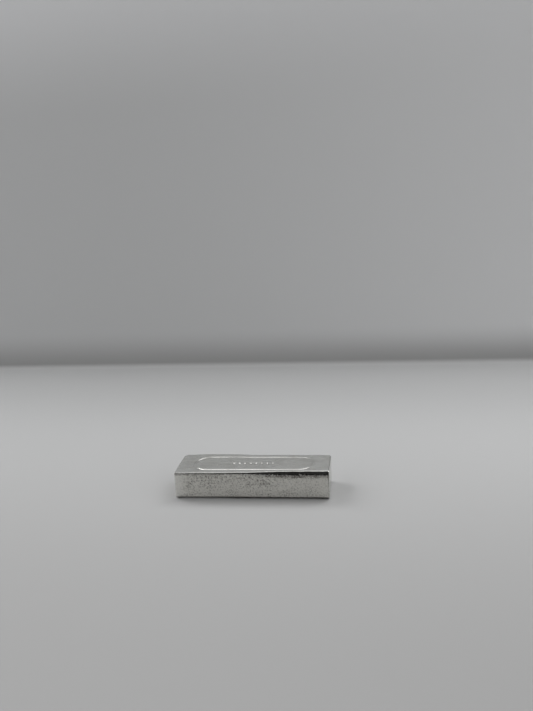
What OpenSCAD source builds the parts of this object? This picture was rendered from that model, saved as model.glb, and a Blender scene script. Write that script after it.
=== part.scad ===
// Small cast metal ingot: one solid bar with worn round edges, a leaning end and a stamped top face.
// Millimetres, +Z up. X runs along the bar from its left end to its right end, and the front face
// looks towards -Y. The origin is the middle of the footprint on the face that the bar lies on.

/* [Bar] */
// Length of the bar between its two end faces
bar_l = 57.4; // [40:0.1:90]
// Width of the bar at its left end
width_left = 16.9; // [13:0.1:24]
// Width of the bar at its right end
width_right = 15.3; // [13:0.1:24]
// Thickness of the bar at its left end
thick_left = 10.2; // [7:0.1:16]
// Thickness of the bar at its right end
thick_right = 10.7; // [7:0.1:16]
// How much further right the top stands than the bottom, because the ends lean
end_lean = 0.1; // [0:0.1:1.5]
// How far the front left corner stands back from the belly of the left end
left_belly = 0.4; // [0.1:0.1:1.5]
// How far the front right corner stands back from the back right corner, because the right end is askew
right_skew = 0.5; // [0:0.1:1.5]

/* [Front edges] */
// Round of the front top edge at the left end
front_top_round_left = 0.4; // [0.4:0.1:2.4]
// Round of the front top edge at the right end, where it is worn down most
front_top_round_right = 1.6; // [0.9:0.1:2.4]
// Round of the front bottom edge at the left end
front_foot_round_left = 0.7; // [0.4:0.1:2.4]
// Round of the front bottom edge at the right end
front_foot_round_right = 1; // [0.9:0.1:2.4]
// Round of the upright edge at the front left corner
front_left_round = 0.4; // [0.3:0.1:0.4]
// Round of the upright edge at the front right corner
front_right_round = 0.5; // [0.3:0.1:0.9]

/* [Back edges] */
// Radius of the back left corner in plan
back_left_corner = 1.8; // [1.2:0.1:5]
// Radius of the back right corner in plan
back_right_corner = 1.2; // [1.2:0.1:5]
// Round of the top edge along the back and the left end
back_top_round = 0.6; // [0.3:0.1:1.2]
// Round of the bottom edge along the back and the left end
back_foot_round = 0.9; // [0.3:0.1:1.2]

/* [Stamp] */
// From each end of the bar to the middle of the stamped frame's groove
frame_end_margin = 6.4; // [4:0.1:10]
// From each long edge to the middle of the stamped frame's groove, at the narrow end
frame_side_margin = 2.3; // [1.8:0.1:3.5]
// Width of the frame's round-bottomed groove at the surface
groove_width = 1.1; // [0.7:0.1:1.6]
// Depth of the frame's groove
groove_depth = 0.22; // [0.1:0.01:0.3]
// Number of punched dots inside the frame
dot_count = 8; // [3:1:12]
// Distance from one punched dot to the next
dot_pitch = 2.1; // [1.6:0.1:2.4]
// Width of a punched dot at the surface
dot_width = 1.3; // [0.6:0.1:1.5]
// Depth of a punched dot
dot_depth = 0.26; // [0.1:0.01:0.3]

/* [Hidden] */

// Facets of the rounds and of the exact curves
round_fn = 24;
$fn = 64;

// Steps of the bow of the left end, from its belly to the front corner
belly_steps = 4;

// The top face leans from one thickness to the other along the bar
thick_middle = (thick_left + thick_right) / 2;
top_tilt = atan((thick_right - thick_left) / bar_l);

// The ends lean, so the top moves right by half of the lean and the bottom moves left
top_shift = end_lean / 2;
foot_shift = -end_lean / 2;

// Stamped frame: a groove with two straight sides and two half-round ends
frame_l = bar_l - 2 * frame_end_margin;
frame_w = min(width_left, width_right) - 2 * frame_side_margin;
frame_end_r = frame_w / 2;
frame_straight = frame_l - frame_w;

// Radius of the round tool that leaves a hollow of the given width and depth
function tool_r(width, depth) = (width * width / 4 + depth * depth) / (2 * depth);
groove_r = tool_r(groove_width, groove_depth);
dot_r = tool_r(dot_width, dot_depth);

// Ring with the given outer radius and tube radius, lying round Z
module ring(outer_r, tube_r) {
    rotate_extrude($fn = round_fn)
        intersection() {
            translate([outer_r - tube_r, 0])
                circle(tube_r, $fn = round_fn);
            translate([0, -tube_r])
                square([outer_r, 2 * tube_r]);
        }
}

// Front corner: the long edge and the upright edge have rounds of their own.
// up is 1 at the top of the bar and -1 at its foot.
module front_corner(x, y, side, up, edge_r, upright_r) {
    translate([x - side * upright_r, y + edge_r, -up * edge_r])
        rotate([0, 90, 0])
            ring(edge_r, upright_r);
}

// Back corner: a plan radius and an edge round
module back_corner(x, y, side, up, corner_r, edge_r) {
    translate([x - side * corner_r, y - corner_r, -up * edge_r])
        ring(corner_r, edge_r);
}

// The rounds of one face of the bar, the top or the foot, moved by shift along the bar.
// The left end bows out: its rounds step back from the belly towards the front corner.
module face_rounds(up, shift, front_left_r, front_right_r, back_r) {
    left_x = shift - bar_l / 2;
    right_x = shift + bar_l / 2;
    front_corner(left_x + left_belly, -width_left / 2, -1, up, front_left_r, front_left_round);
    front_corner(right_x - right_skew, -width_right / 2, 1, up, front_right_r, front_right_round);
    back_corner(left_x, width_left / 2, -1, up, back_left_corner, back_r);
    back_corner(right_x, width_right / 2, 1, up, back_right_corner, back_r);
    for (step = [0 : belly_steps - 1])
        let (share = step / belly_steps)
            back_corner(left_x + left_belly * share * share, back_r - share * width_left / 2,
                        -1, up, back_r, back_r);
}

// Places what it is given in the plane of the top face, with its middle over the origin
module on_top() {
    translate([0, 0, thick_middle])
        rotate([0, -top_tilt, 0])
            children();
}

module blank() {
    hull() {
        on_top()
            face_rounds(1, top_shift, front_top_round_left, front_top_round_right, back_top_round);
        face_rounds(-1, foot_shift, front_foot_round_left, front_foot_round_right, back_foot_round);
    }
}

// Half-round end of the stamped groove, at the right for side 1 and at the left for side -1
module groove_end(side) {
    translate([side * frame_straight / 2, 0, groove_r - groove_depth])
        rotate([0, 0, -side * 90])
            rotate_extrude(angle = 180)
                translate([frame_end_r, 0])
                    circle(groove_r);
}

// Straight side of the stamped groove
module groove_side(side) {
    translate([-frame_straight / 2, side * frame_end_r, groove_r - groove_depth])
        rotate([0, 90, 0])
            cylinder(h = frame_straight, r = groove_r);
}

module stamp() {
    for (side = [-1, 1]) {
        groove_end(side);
        groove_side(side);
    }
    for (i = [0 : dot_count - 1])
        translate([(i - (dot_count - 1) / 2) * dot_pitch, 0, dot_r - dot_depth])
            sphere(dot_r);
}

module ingot() {
    color("silver")
        difference() {
            blank();
            on_top()
                stamp();
        }
}

ingot();
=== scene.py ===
import math
from types import SimpleNamespace

import bmesh
import bpy
from mathutils import Matrix, Vector, noise
from mathutils.bvhtree import BVHTree


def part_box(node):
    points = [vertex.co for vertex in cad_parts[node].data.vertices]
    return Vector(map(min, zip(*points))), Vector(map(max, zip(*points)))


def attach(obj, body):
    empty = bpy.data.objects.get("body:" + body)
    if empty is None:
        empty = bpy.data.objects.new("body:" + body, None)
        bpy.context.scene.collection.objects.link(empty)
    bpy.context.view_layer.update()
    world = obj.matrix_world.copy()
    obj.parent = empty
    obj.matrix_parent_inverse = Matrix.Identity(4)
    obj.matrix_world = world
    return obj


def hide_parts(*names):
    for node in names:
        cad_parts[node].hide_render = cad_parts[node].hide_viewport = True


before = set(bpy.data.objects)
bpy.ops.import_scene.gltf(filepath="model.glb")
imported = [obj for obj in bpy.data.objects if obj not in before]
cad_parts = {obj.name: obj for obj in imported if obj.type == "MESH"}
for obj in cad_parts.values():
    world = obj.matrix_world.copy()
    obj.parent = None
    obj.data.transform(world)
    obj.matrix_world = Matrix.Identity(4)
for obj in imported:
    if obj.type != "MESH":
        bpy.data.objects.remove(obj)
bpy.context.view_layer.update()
mm = 0.001                                       # sizes below are in millimetres


shot = {
    "place": (34.05, -183.55, 96.13),            # from the middle of the ingot's foot
    "azimuth": 8.31,                             # degrees
    "pitch": 13.47,                              # degrees below the horizon
    "roll": 3.24,                                # degrees
    "focalPixels": 540,
    "imagePixels": (533, 711),
    "sensor": 36,
}


def makeCamera():
    lens = bpy.data.cameras.new("photoCamera")
    lens.sensor_width = shot["sensor"]
    lens.lens = shot["focalPixels"] * shot["sensor"] / max(shot["imagePixels"])
    camera = bpy.data.objects.new("photoCamera", lens)
    bpy.context.scene.collection.objects.link(camera)
    turn = Matrix.Rotation(math.radians(shot["azimuth"]), 4, "Z")
    tip = Matrix.Rotation(math.radians(90 - shot["pitch"]), 4, "X")
    lean = Matrix.Rotation(math.radians(-shot["roll"]), 4, "Z")
    camera.matrix_world = Matrix.Translation(Vector(shot["place"]) * mm) @ turn @ tip @ lean
    bpy.context.scene.camera = camera
    print("camera set, lens", round(lens.lens, 2), "mm")


class Wire:                                      # an output socket that takes part in sums
    def __init__(self, socket):
        self.socket = socket
        self.tree = socket.id_data

    def node(self, kind, settings, sockets, out=0):
        made = self.tree.nodes.new(kind)
        for name, value in settings.items():
            setattr(made, name, value)
        for name, value in sockets.items():
            if isinstance(value, Wire):
                self.tree.links.new(value.socket, made.inputs[name])
            else:
                made.inputs[name].default_value = value
        return Wire(made.outputs[out])

    def sum(self, operation, first, second):
        return self.node("ShaderNodeMath", {"operation": operation}, {0: first, 1: second})

    def __add__(self, other):
        return self.sum("ADD", self, other)

    def __radd__(self, other):
        return self.sum("ADD", other, self)

    def __sub__(self, other):
        return self.sum("SUBTRACT", self, other)

    def __rsub__(self, other):
        return self.sum("SUBTRACT", other, self)

    def __mul__(self, other):
        return self.sum("MULTIPLY", self, other)

    def __rmul__(self, other):
        return self.sum("MULTIPLY", other, self)

    def __abs__(self):
        return self.sum("ABSOLUTE", self, 0)

    def rise(self, low, high):                   # 0 below low, 1 above high, smooth between
        return self.node("ShaderNodeMapRange", {"interpolation_type": "SMOOTHSTEP"},
                         {"Value": self, "From Min": low, "From Max": high})

    def part(self, axis):
        return self.node("ShaderNodeSeparateXYZ", {}, {0: self}, axis)

    def stretch(self, scale):
        return self.node("ShaderNodeMapping", {}, {"Vector": self, "Scale": scale})

    def grain(self, scale, detail, roughness):
        return self.node("ShaderNodeTexNoise", {},
                         {"Vector": self, "Scale": scale, "Detail": detail, "Roughness": roughness})

    def tint(self, first, second):               # self is the share of the second colour
        return self.node("ShaderNodeMix", {"data_type": "RGBA"}, {0: self, 6: first, 7: second}, 2)

    def mark(self, name):                        # a value kept on the mesh
        return self.node("ShaderNodeAttribute", {"attribute_name": name}, {}, 2)


def newMaterial(name):
    material = bpy.data.materials.new(name)
    material.use_nodes = True
    tree = material.node_tree
    shader = tree.nodes["Principled BSDF"]
    place = Wire(tree.nodes.new("ShaderNodeTexCoord").outputs["Object"])
    return material, shader, place


def plug(wire, shader, name):
    wire.tree.links.new(wire.socket, shader.inputs[name])


def smooth(value, low, high):                    # 0 below low, 1 above high, smooth between
    share = min(max((value - low) / (high - low), 0), 1)
    return share * share * (3 - 2 * share)


def mix(pair, share):
    first, last = pair
    return first + (last - first) * share


def crumple(spot, size):                         # rough noise about 0, in two octaves
    return noise.fractal(spot / size, 1, 2, 2)


def lifted(value):                               # noise about 0, moved to lie about a half
    return 0.5 + 0.5 * value


skin = {                                         # pairs run from left to right, or from none to full
    "grid": 0.2, "core": 3,                      # mesh spacing, and depth of the core it is drawn towards
    "stamp": {
        "reach": (24.2, 6.5),                    # half length and half width of the stamped area
        "bareSpot": (0, 2.6),                    # a spot in it that is left flat
        "fade": 0.3, "fadeSize": 7,              # it is struck unevenly
    },
    "wear": {                                    # of the front's long edges
        "top": {"rounds": (0.7, 1.95), "between": (0.38, 0.78)},
        "foot": {"rounds": (1.5, 1.45), "between": (0.2, 0.8)},
        "raggedSize": 1.6, "raggedShare": 0.05,
        "rollWidth": 1.5, "rollDrop": 0.19,      # the top rolls off a little before its worn edge
        "rollShare": (1, 0.3),
        "rollStart": (0.3, 1), "rollFrom": (0, 0.15),            # and less beside the left end
        "probes": (-15, 15), "probeTop": 7, "probeFront": 5,     # where the two faces are sounded
    },
    "zones": {                                   # parts of the normal, or shares of the way across the bar
        "front": (0.3, 0.8), "back": (0.2, 1),
        "right": (0.6, 0.85),                    # the front's smoother right third
        "worn": (0.4, 0.7),                      # where the skin under the worn edge turns ragged
        "top": (0.93, 0.99),                     # upward normal at which the worn edges give way to the top
        "clean": (0.3, 0.8),                     # the back and the left end
        "topFall": 0.5,                          # how much lower the top is at the left end
        "rubWidth": 5,                           # the front is rubbed bright beside its left end
        "raggedSize": 0.55,
        "patchSize": 4, "patchShift": (12, 28, 4),
    },
    "cast": {                                    # the frosted cast skin
        "ends": (0.05, 0.6),                     # upward normal at which it ends
        "shift": 0.3, "shiftOver": (0.3, 0.65),  # further up at the left
        "ragged": (0.22, 0.45),
        "smoothEnd": 0.7, "endTurn": (0.6, 0.9),                 # the right end lacks most of it
        "smoothCorner": 0.8, "cornerTurn": (0.3, 0.6),           # and so does the front left corner
        "rubbed": 0.5,
        "peelSize": 0.7, "peelDepth": 0.2, "peelShare": (0.5, 1),
        "waveSize": 9, "waveDepth": 0.05, "waveShare": (0.4, 1),         # long waves left by the mould
        "drawSize": (0.9, 0.9, 4), "drawDepth": 0.05,            # faint upright marks at the front's right
    },
    "pits": {                                    # small ragged hollows in the cast skin
        "size": 0.5, "shift": (2.5, 0.5, 4.5), "depth": 0.12,
        "range": (0.6, 1), "crowded": 0.45,
        "usual": 0.4, "patchy": 0.5, "busy": 0.5, "fewerRight": 0.35,
        "busyHeight": (0.3, 0.8), "busyFrom": (0.02, 0.2), "busyTo": (0.6, 0.8),     # most pits lie there
    },
    "lip": {                                     # the ragged skin under the worn top edge
        "starts": (0.2, 0.45), "ends": 0.9,      # in worn rounds below the top
        "fade": (0.35, 0.9), "strength": (0.7, 1),
        "depth": 0.12,
    },
    "fray": {                                    # where the worn edge meets the cast skin, by the normal
        "front": (0.3, 0.7), "starts": (-0.15, 0.05), "ends": (0.35, 0.7),
        "size": 0.6, "depth": 0.16,
    },
    "backEdge": {
        "sagSize": 14, "sagSeed": 2.3, "sagDepth": 0.12,         # dips along it
        "swellAt": (0.04, 0.14, 0.34, 0.5), "swellTurn": (0.2, 0.8), "swellHeight": 0.25,
    },
    "leftTurn": {"width": 1.3, "depth": 0.12},   # the front turns in a little at its left end
    # dirt in the pits, together with painted shade, painted contact shadow and painted dark reflections
    "soilAndShade": {
        "pits": 0.35, "fewerPits": 0.7,          # and how much less on the clean faces
        # painted dark reflection down the front right upright edge and along the right end's top edge
        "darkEdgeReflection": 0.7, "darkEdgeReflectionTurn": (0.15, 0.45), "darkEdgeReflectionTop": 0.5,
        "darkEdgeReflectionHeight": (0.4, 0.9), "darkEdgeReflectionShare": (0.4, 1),
        # painted contact shadow along the foot of the front and of the right end
        "footShadowTurn": (0.2, 0.7), "footShadowFront": (0.1, 0.4), "footShadowOver": (0.1, 0.5), "footShadowShare": (0.25, 1),
        "endFootShadow": (0.05, 0.4), "endTurn": (0.1, 0.4),
        # tarnish and painted dark reflection on the broad worn top edge
        "bandTurn": (0.1, 0.5), "bandFrom": (0.45, 0.7), "bandOver": (0.8, 0.92), "bandShare": (0.45, 0.15),
        "tip": 0.6, "tipReach": 1.4, "tipFade": (0, 0.5),        # painted shade that dims the glint at the tip of the front left corner
        # tarnish and painted dark reflection in the ragged skin under the worn top edge, and where that
        # edge meets the cast skin
        "lip": 0.5, "stipple": 1.1, "stippleSize": 0.38, "patchy": 0.2,
        "fray": 0.4, "frayTurn": (0.05, 0.2), "frayFrom": (0.6, 0.75),
    },
    "specks": {"fewerInSkin": 0.5, "fewerInLip": 0.3},           # on the clean faces
}


def gridBox(low, high, step):
    body = bmesh.new()
    bmesh.ops.create_cube(body, size=1)
    size = high - low
    bmesh.ops.scale(body, vec=size, verts=body.verts)
    bmesh.ops.translate(body, vec=(low + high) / 2, verts=body.verts)
    for axis in range(3):
        along = [edge for edge in body.edges
                 if abs(edge.verts[0].co[axis] - edge.verts[1].co[axis]) > size[axis] / 2]
        bmesh.ops.subdivide_edges(body, edges=along, cuts=round(size[axis] / step) - 1)
    return body


def drape(body, solid, low, high):               # lays the grid on the solid, straight down at the stamp
    stamp = skin["stamp"]
    reach = [side * mm for side in stamp["reach"]]
    core = skin["core"] * mm
    down = Vector((0, 0, -1))
    bare, tilt = solid.ray_cast(Vector((*stamp["bareSpot"], 0)) * mm - down, down)[:2]
    for vert in body.verts:
        spot = vert.co.copy()
        onTop = abs(spot.z - high.z) < skin["grid"] * mm / 2
        if onTop and abs(spot.x) < reach[0] and abs(spot.y) < reach[1]:
            hollow = solid.ray_cast(spot - down, down)[0]
            level = bare.z - (tilt.x * (spot.x - bare.x) + tilt.y * (spot.y - bare.y)) / tilt.z
            weak = lifted(noise.noise(spot / mm / stamp["fadeSize"]))
            hollow.z = level + (hollow.z - level) * (1 - stamp["fade"] * weak)
            vert.co = hollow
        else:
            sides = zip(spot, low, high)
            inner = [min(max(place, least + core), most - core) for place, least, most in sides]
            outward = spot - Vector(inner)
            vert.co = solid.ray_cast(spot + outward, -outward)[0]


def sound(solid, start, heading):                # a face's height along one axis, as a line over x
    axis = max(range(3), key=lambda i: abs(heading[i]))
    starts = [Vector((x, *start)) * mm - heading for x in skin["wear"]["probes"]]
    first, last = [solid.ray_cast(begin, heading)[0] for begin in starts]
    slope = (last[axis] - first[axis]) / (last.x - first.x)
    return lambda x: first[axis] + slope * (x - first.x)


def wornRound(name, along):
    edge = skin["wear"][name]
    return mix(edge["rounds"], smooth(along, *edge["between"]))


def rollOver(vert, radius, front, level, up):    # moves a vertex in to the round between two faces
    inward = radius - (vert.co.y - front)
    across = radius - up * (level - vert.co.z)
    reach = math.hypot(inward, across)
    if inward > 0 and across > 0 and reach > radius:
        vert.co.y += inward * (1 - radius / reach)
        vert.co.z -= up * across * (1 - radius / reach)


def wearEdges(body, solid, low, high):
    wear = skin["wear"]
    topAt = sound(solid, (wear["probeTop"], 0), Vector((0, 0, -1)))
    frontAt = sound(solid, (0, wear["probeFront"]), Vector((0, 1, 0)))
    for vert in body.verts:
        along = (vert.co.x - low.x) / (high.x - low.x)
        front = frontAt(vert.co.x)
        ragged = mm * (1 + wear["raggedShare"] * noise.noise(vert.co / mm / wear["raggedSize"]))
        radius = ragged * wornRound("top", along)
        margin = 1 - (vert.co.y - front - radius / 2) / wear["rollWidth"] / mm
        drop = wear["rollDrop"] * mm * mix(wear["rollShare"], smooth(along, *wear["top"]["between"]))
        drop *= mix(wear["rollStart"], smooth(along, *wear["rollFrom"]))
        level = topAt(vert.co.x) - drop * min(max(margin, 0), 1) ** 2
        vert.co.z = min(vert.co.z, level)
        rollOver(vert, radius, front, level, 1)
        rollOver(vert, ragged * wornRound("foot", along), front, low.z, -1)


def zonesAt(spot, normal, low, high):            # where on the bar a vertex lies
    zones = skin["zones"]
    at = SimpleNamespace(spot=spot, normal=normal)
    at.fromLeft = spot.x - low.x
    at.along = at.fromLeft / (high.x - low.x)    # 0 at the left end, 1 at the right
    at.height = (spot.z - low.z) / (high.z - low.z)
    at.under = high.z - zones["topFall"] * (1 - at.along) - spot.z
    at.fromTip = (spot - Vector((low.x, low.y, high.z - zones["topFall"]))).length
    at.front = smooth(-normal.y, *zones["front"])
    at.back = smooth(spot.y / high.y, *zones["back"])
    at.right = at.front * smooth(at.along, *zones["right"])
    at.worn = smooth(at.along, *zones["worn"])
    at.top = smooth(normal.z, *zones["top"])
    at.clean = smooth(max(normal.y, -normal.x), *zones["clean"])
    at.rubbed = at.front * max(1 - at.fromLeft / zones["rubWidth"], 0)
    at.ragged = crumple(spot, zones["raggedSize"])
    at.patch = noise.noise((spot + Vector(zones["patchShift"])) / zones["patchSize"])
    return at


def castShare(at):
    cast = skin["cast"]
    shift = cast["shift"] * (1 - smooth(at.along, *cast["shiftOver"]))
    turn = at.normal.z + at.ragged * mix(cast["ragged"], at.worn)
    share = 1 - smooth(turn - shift, *cast["ends"])
    share *= 1 - cast["smoothEnd"] * smooth(at.normal.x, *cast["endTurn"])
    corner = smooth(-at.normal.x, *cast["cornerTurn"]) * smooth(-at.normal.y, *cast["cornerTurn"])
    share *= 1 - cast["smoothCorner"] * corner
    return share * (1 - cast["rubbed"] * at.rubbed)


def crowding(at):                                # how close together the pits lie
    pits = skin["pits"]
    busy = at.front * smooth(at.height, *pits["busyHeight"])
    busy *= smooth(at.along, *pits["busyFrom"]) * (1 - smooth(at.along, *pits["busyTo"]))
    crowd = pits["usual"] + pits["patchy"] * at.patch + pits["busy"] * busy
    return min(max(crowd, 0), 1) * (1 - pits["fewerRight"] * at.right)


def pitShare(at):
    pits = skin["pits"]
    hollow = crumple(at.spot + Vector(pits["shift"]), pits["size"])
    return at.cast * smooth(hollow + pits["crowded"] * at.crowd, *pits["range"])


def lipShare(at):
    lip = skin["lip"]
    radius = wornRound("top", at.along)
    begun = smooth(at.under / radius, *lip["starts"])
    over = smooth(at.under, lip["ends"] * radius, radius + mix(lip["fade"], at.worn))
    return at.front * begun * (1 - over) * mix(lip["strength"], at.worn)


def frayShare(at):
    fray = skin["fray"]
    share = smooth(at.normal.z, *fray["starts"]) * (1 - smooth(at.normal.z, *fray["ends"]))
    return share * smooth(-at.normal.y, *fray["front"])


def darkEdgeReflectionShare(at):                              # painted dark reflection on the upright edge at the front right, and on the top edge over the right end
    soilAndShade = skin["soilAndShade"]
    turn = soilAndShade["darkEdgeReflectionTurn"]
    darkEdgeReflection = smooth(-at.normal.y, *turn) * mix(soilAndShade["darkEdgeReflectionShare"], smooth(at.height, *soilAndShade["darkEdgeReflectionHeight"]))
    return smooth(at.normal.x, *turn) * max(darkEdgeReflection, soilAndShade["darkEdgeReflectionTop"] * smooth(at.normal.z, *turn))


def footShadowShare(at):                               # painted contact shadow at the foot of the front and of the right end
    soilAndShade = skin["soilAndShade"]
    front = smooth(-at.normal.z, *soilAndShade["footShadowTurn"]) * smooth(-at.normal.y, *soilAndShade["footShadowFront"])
    front *= mix(soilAndShade["footShadowShare"], smooth(at.along, *soilAndShade["footShadowOver"]))
    return max(front, smooth(-at.normal.z, *soilAndShade["endFootShadow"]) * smooth(at.normal.x, *soilAndShade["endTurn"]))


def bandShare(at):                               # tarnish and painted dark reflection on the worn top edge, where it is broad
    soilAndShade = skin["soilAndShade"]
    band = (1 - at.cast) * (1 - at.top) * smooth(-at.normal.y, *soilAndShade["bandTurn"])
    band *= smooth(at.along, *soilAndShade["bandFrom"])
    band *= mix(soilAndShade["bandShare"], smooth(at.along, *soilAndShade["bandOver"]))
    return band * (1 + at.ragged)


# dirt in the pits, and painted shade and painted dark reflections at the foot, the edges and the corner tip
def soilAndShadeShare(at):
    soilAndShade = skin["soilAndShade"]
    pits = soilAndShade["pits"] * at.pit * (1 - soilAndShade["fewerPits"] * at.clean)
    tip = soilAndShade["tip"] * smooth(1 - at.fromTip / soilAndShade["tipReach"], *soilAndShade["tipFade"])
    stipple = soilAndShade["stipple"] * crumple(at.spot, soilAndShade["stippleSize"])
    lip = at.lip * (soilAndShade["lip"] + stipple + soilAndShade["patchy"] * at.patch)
    fray = soilAndShade["fray"] * at.fray * smooth(at.normal.z, *soilAndShade["frayTurn"])
    fray *= smooth(at.along, *soilAndShade["frayFrom"])
    share = max(pits, soilAndShade["darkEdgeReflection"] * darkEdgeReflectionShare(at), footShadowShare(at), bandShare(at), tip, lip, fray)
    return min(max(share, 0), 1)


def speckShare(at):
    specks = skin["specks"]
    inSkin = at.crowd * (1 - at.rubbed) - specks["fewerInSkin"] * at.clean
    return max(inSkin, at.lip - specks["fewerInLip"] * at.clean)


def backEdgeDepth(at):
    edge = skin["backEdge"]
    sag = at.top * lifted(noise.noise(Vector((at.spot.x / edge["sagSize"], edge["sagSeed"], 0))))
    start, full, fall, end = edge["swellAt"]
    swell = smooth(at.along, start, full) * (1 - smooth(at.along, fall, end))
    swell *= smooth(at.normal.z, *edge["swellTurn"])
    return at.back * (edge["sagDepth"] * sag - edge["swellHeight"] * swell)


def skinDepth(at):                               # how far the skin lies below the solid
    cast = skin["cast"]
    lip = skin["lip"]
    fray = skin["fray"]
    turn = skin["leftTurn"]
    wave = lifted(noise.noise(at.spot / cast["waveSize"]))
    drawn = lifted(noise.noise(Vector([place / size for place, size in zip(at.spot, cast["drawSize"])])))
    peel = lifted(crumple(at.spot, cast["peelSize"])) * mix(cast["peelShare"], at.crowd)
    depth = cast["waveDepth"] * wave * mix(cast["waveShare"], at.cast)
    depth += cast["peelDepth"] * peel * at.cast
    depth += cast["drawDepth"] * drawn * at.right
    depth += skin["pits"]["depth"] * at.pit
    depth += lip["depth"] * at.lip * lifted(at.ragged)
    depth += fray["depth"] * at.fray * lifted(crumple(at.spot, fray["size"]))
    depth += turn["depth"] * at.front * max(1 - at.fromLeft / turn["width"], 0) ** 2
    return depth + backEdgeDepth(at)


def relief(spot, normal, low, high):             # the depth of the skin, and its marks
    at = zonesAt(spot, normal, low, high)
    at.cast = castShare(at)
    at.crowd = crowding(at)
    at.pit = pitShare(at)
    at.lip = lipShare(at)
    at.fray = frayShare(at)
    marks = {"cast": at.cast, "top": at.top, "soilAndShade": soilAndShadeShare(at), "busy": speckShare(at)}
    return skinDepth(at), marks


def makeIngot():
    low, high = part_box("ingot")
    body = gridBox(low, high, skin["grid"] * mm)
    solid = BVHTree.FromObject(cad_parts["ingot"], bpy.context.evaluated_depsgraph_get())
    drape(body, solid, low, high)
    wearEdges(body, solid, low, high)
    body.normal_update()
    layers = {name: body.verts.layers.float.new(name) for name in ("cast", "top", "soilAndShade", "busy")}
    moves = []
    for vert in body.verts:
        depth, marks = relief(vert.co / mm, vert.normal, low / mm, high / mm)
        for name, layer in layers.items():
            vert[layer] = marks[name]
        moves.append((vert, vert.normal * depth * mm))
    for vert, move in moves:
        vert.co -= move
        vert.co.z = max(vert.co.z, low.z)
    for face in body.faces:
        face.smooth = True
    mesh = bpy.data.meshes.new("ingotSkin")
    body.to_mesh(mesh)
    body.free()
    ingot = bpy.data.objects.new("ingotSkin", mesh)
    bpy.context.scene.collection.objects.link(ingot)
    ingot.data.materials.append(castSilver())
    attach(ingot, "root")
    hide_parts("ingot")
    print("ingot made:", len(mesh.polygons), "faces")


silver = {                                       # a grain is its scale per mm, its detail and its roughness
    "bright": (0.84, 0.84, 0.81, 1),
    "warm": (0.76, 0.755, 0.72, 1),
    "patchGrain": (0.22, 3, 0.55), "patchRange": (0.4, 0.7),     # from bright to warm
    "dull": (0.69, 0.68, 0.64, 1),               # the cast skin
    "grime": (0.14, 0.134, 0.125, 1),            # specks in it
    # dark colour for dirt in the pits, and for painted shade, painted contact shadow and painted dark
    # reflections
    "soilAndShade": (0.055, 0.046, 0.036, 1),
    "speckGrain": (2.0, 3, 0.65), "speckRange": (0.48, 0.67), "speckLeast": 0.3,
    "speckDepth": 0.1,                           # mm, as the other depths
    "frostGrain": (2.6, 3, 0.6), "frostDepth": 0.075, "frostWorn": 0.35,         # less on the worn edges
    "streakStretch": (0.05, 6, 6), "streakGrain": (1, 3, 0.6), "streakDepth": 0.006,     # along the top
    "roughWorn": 0.12,                           # the next three are added to it
    "roughTop": 0.14, "roughCast": 0.3, "roughSoilAndShade": 0.2,
}


def castSilver():
    material, shader, place = newMaterial("castSilver")
    inMm = place.stretch((1 / mm, 1 / mm, 1 / mm))
    cast, top, soilAndShade, busy = [place.mark(name) for name in ("cast", "top", "soilAndShade", "busy")]
    patches = inMm.grain(*silver["patchGrain"]).rise(*silver["patchRange"])
    frost = inMm.grain(*silver["frostGrain"])
    streak = inMm.stretch(silver["streakStretch"]).grain(*silver["streakGrain"])
    specks = inMm.grain(*silver["speckGrain"]).rise(*silver["speckRange"])
    specks = specks * (silver["speckLeast"] + (1 - silver["speckLeast"]) * busy)
    castColour = specks.tint(silver["dull"], silver["grime"])
    metal = cast.tint(patches.tint(silver["bright"], silver["warm"]), castColour)
    # this paints dirt in the pits, and also painted contact shadow, painted shade and painted dark
    # reflections on the edges
    plug(soilAndShade.tint(metal, silver["soilAndShade"]), shader, "Base Color")
    shader.inputs["Metallic"].default_value = 1
    rough = silver["roughWorn"] + silver["roughTop"] * top * (0.5 + streak)
    rough = rough + silver["roughCast"] * cast * (0.5 + frost) + silver["roughSoilAndShade"] * soilAndShade * cast
    plug(rough, shader, "Roughness")
    worn = (1 - cast) * (1 - top)
    height = silver["frostDepth"] * frost * (cast + silver["frostWorn"] * worn)
    height = height - silver["speckDepth"] * specks * cast
    height = height + silver["streakDepth"] * top * streak
    bump = place.node("ShaderNodeBump", {}, {"Strength": 1, "Distance": mm, "Height": height})
    plug(bump, shader, "Normal")
    return material


stage = {                                        # pairs of colours are at the left and the right, and differ as painted light
    "width": 2400, "front": 1200,
    "wallBack": 181.4, "wallTurn": -1.59, "wallHeight": 250,
    "foldRound": 4, "foldSteps": 12,
    "sideReach": (-150, 330),                    # from left to right
    "nearColours": ((0.43, 0.43, 0.43, 1), (0.38, 0.38, 0.38, 1)),
    "farColours": ((0.585, 0.59, 0.592, 1), (0.705, 0.71, 0.712, 1)),
    "farReach": (-105, 85),                      # from the near floor to the far floor; the darker near floor is painted light falloff
    "wallColours": ((0.605, 0.61, 0.615, 1), (0.82, 0.825, 0.833, 1)),
    # painted shade in the fold between floor and wall
    "foldShadeColour": (0.40, 0.40, 0.40, 1),
    "foldShadeReach": 28,                             # height to which the painted shade in the fold reaches
    "highColour": (0.825, 0.83, 0.843, 1),
    "highReach": (170, 270),                     # heights from which and to which the wall grows paler, as painted light
    "rough": 0.9, "shine": 0.1,
}


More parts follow.
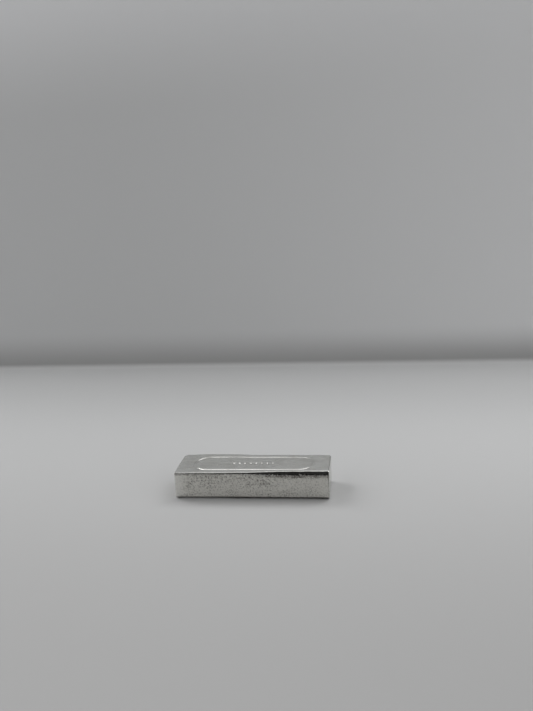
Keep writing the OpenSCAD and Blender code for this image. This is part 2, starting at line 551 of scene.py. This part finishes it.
def sheetMaterial():
    material, shader, place = newMaterial("paleSheet")
    across, away, high = [place.part(axis) for axis in range(3)]
    across = across.rise(*[reach * mm for reach in stage["sideReach"]])
    away = away.rise(*[reach * mm for reach in stage["farReach"]])
    # the floor's and wall's colour gradients are painted light falloff, and the darker fold is painted
    # shade
    floor = away.tint(across.tint(*stage["nearColours"]), across.tint(*stage["farColours"]))
    wall = across.tint(*stage["wallColours"])
    wall = high.rise(0, stage["foldShadeReach"] * mm).tint(stage["foldShadeColour"], wall)
    wall = high.rise(*[reach * mm for reach in stage["highReach"]]).tint(wall, stage["highColour"])
    rising = high.rise(0, stage["foldRound"] * mm)
    plug(rising.tint(floor, wall), shader, "Base Color")
    shader.inputs["Roughness"].default_value = stage["rough"]
    shader.inputs["Specular IOR Level"].default_value = stage["shine"]
    return material


def makeStage():
    sheet = bmesh.new()
    bmesh.ops.create_grid(sheet, x_segments=1, y_segments=1, size=0.5)
    depth = stage["front"] + stage["wallBack"]
    bmesh.ops.scale(sheet, vec=(stage["width"] * mm, depth * mm, 1), verts=sheet.verts)
    bmesh.ops.translate(sheet, vec=(0, (stage["wallBack"] - depth / 2) * mm, 0), verts=sheet.verts)
    fold = max(sheet.edges, key=lambda edge: edge.verts[0].co.y + edge.verts[1].co.y)
    raised = bmesh.ops.extrude_edge_only(sheet, edges=[fold])["geom"]
    wallTop = [item for item in raised if isinstance(item, bmesh.types.BMVert)]
    bmesh.ops.translate(sheet, vec=(0, 0, stage["wallHeight"] * mm), verts=wallTop)
    bmesh.ops.bevel(sheet, geom=[fold], offset=stage["foldRound"] * mm, segments=stage["foldSteps"],
                    profile=0.5, affect="EDGES", material=-1)
    turn = Matrix.Rotation(math.radians(stage["wallTurn"]), 4, "Z")
    bmesh.ops.transform(sheet, matrix=turn, verts=sheet.verts)
    for face in sheet.faces:
        face.smooth = True
    mesh = bpy.data.meshes.new("paleSheet")
    sheet.to_mesh(mesh)
    sheet.free()
    made = bpy.data.objects.new("paleSheet", mesh)
    bpy.context.scene.collection.objects.link(made)
    mesh.materials.append(sheetMaterial())
    print("stage made")


tent = {
    "colour": (1, 1, 1, 1),
    "glow": 1.1, "dark": 0.03,                   # the lit sides of the tent, and its open front
    "side": (0.3, 0.65), "back": (0.2, 0.45), "low": (0.05, 0.3),
    "backShare": 0.92, "lowShare": 0.03,
}
lamps = {
    "right": {"place": (270, 260, 550), "size": (200, 560), "watts": 1.4},
    "left": {"place": (-510, 260, 450), "size": (300, 560), "watts": 1.9},
}


def makeTent():
    world = bpy.data.worlds.new("softTent")
    world.use_nodes = True
    tree = world.node_tree
    bpy.context.scene.world = world
    look = Wire(tree.nodes.new("ShaderNodeTexCoord").outputs["Generated"])
    side = abs(look.part(0)).rise(*tent["side"])
    back = look.part(1).rise(*tent["back"])
    low = 1 - look.part(2).rise(*tent["low"])
    shade = (1 - side) * (1 - tent["backShare"] * back) * (1 - tent["lowShare"] * low)
    sky = tree.nodes["Background"]
    sky.inputs["Color"].default_value = tent["colour"]
    plug(tent["dark"] + tent["glow"] * (1 - shade), sky, "Strength")
    print("tent made")


def makeLamps():
    for name, lamp in lamps.items():
        light = bpy.data.lights.new(name, "AREA")
        light.shape = "RECTANGLE"
        light.size = lamp["size"][0] * mm
        light.size_y = lamp["size"][1] * mm
        light.energy = lamp["watts"]
        made = bpy.data.objects.new(name, light)
        bpy.context.scene.collection.objects.link(made)
        place = Vector(lamp["place"]) * mm
        made.matrix_world = Matrix.Translation(place) @ place.to_track_quat("Z", "Y").to_matrix().to_4x4()
    bpy.context.scene.view_settings.view_transform = "Standard"
    print("light set")


makeCamera()
makeIngot()
makeStage()
makeTent()
makeLamps()
